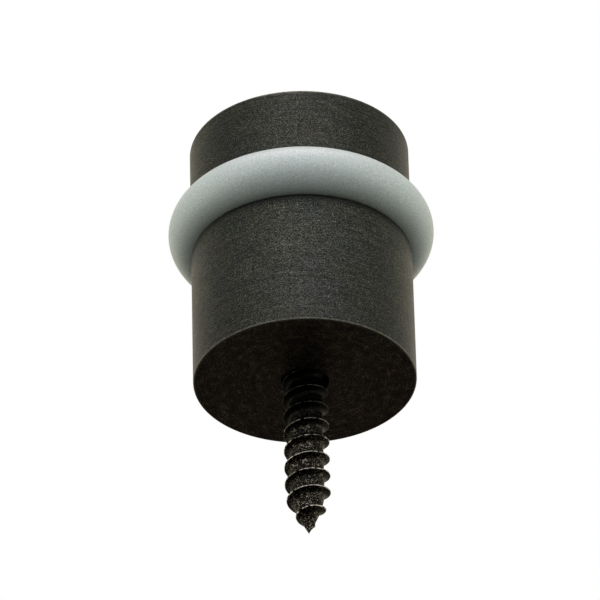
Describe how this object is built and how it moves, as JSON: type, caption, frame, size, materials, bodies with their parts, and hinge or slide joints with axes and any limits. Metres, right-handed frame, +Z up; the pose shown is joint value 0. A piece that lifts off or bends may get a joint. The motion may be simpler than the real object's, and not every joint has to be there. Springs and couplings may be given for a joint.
{
  "type": "floor door stop",
  "caption": "Cylindrical floor-mounted door stop: dark metal barrel and screw-on cap, grey rubber bumper ring between them, wood screw through the base.",
  "frame": {"origin": "centre of the round base face, at floor level, where the fixing screw leaves the base", "axes": "+Z up along the barrel, away from the floor; the wood screw points down -Z; X and Y are interchangeable"},
  "size_m": [0.0306, 0.0306, 0.0521],
  "materials": {
    "oil_rubbed_bronze": "satin, fine turned brushing, nearly black",
    "grey_rubber": "matte",
    "blackened_steel": "blackened, semi-gloss"
  },
  "bodies": {
    "barrel": {"barrel": "oil_rubbed_bronze"},
    "ring": {"bumper_ring": "grey_rubber"},
    "cap": {"cap": "oil_rubbed_bronze"},
    "screw": {"wood_screw": "blackened_steel"}
  },
  "joints": [
    {"name": "cap_lift", "type": "slide", "parent": "barrel", "child": "ring", "axis": [0, 0, 1], "range_m": [0, 0.005]},
    {"name": "cap_turn", "type": "hinge", "parent": "ring", "child": "cap", "pos_m": [0, 0, 0], "axis": [0, 0, 1], "range_deg": [0, 1800]},
    {"name": "screw_turn", "type": "hinge", "parent": "barrel", "child": "screw", "pos_m": [0, 0, 0], "axis": [0, 0, 1], "continuous": true}
  ],
  "couplings": [
    {"joint": "cap_lift", "follows": "cap_turn", "m_per_rad": 0.00015915}
  ]
}
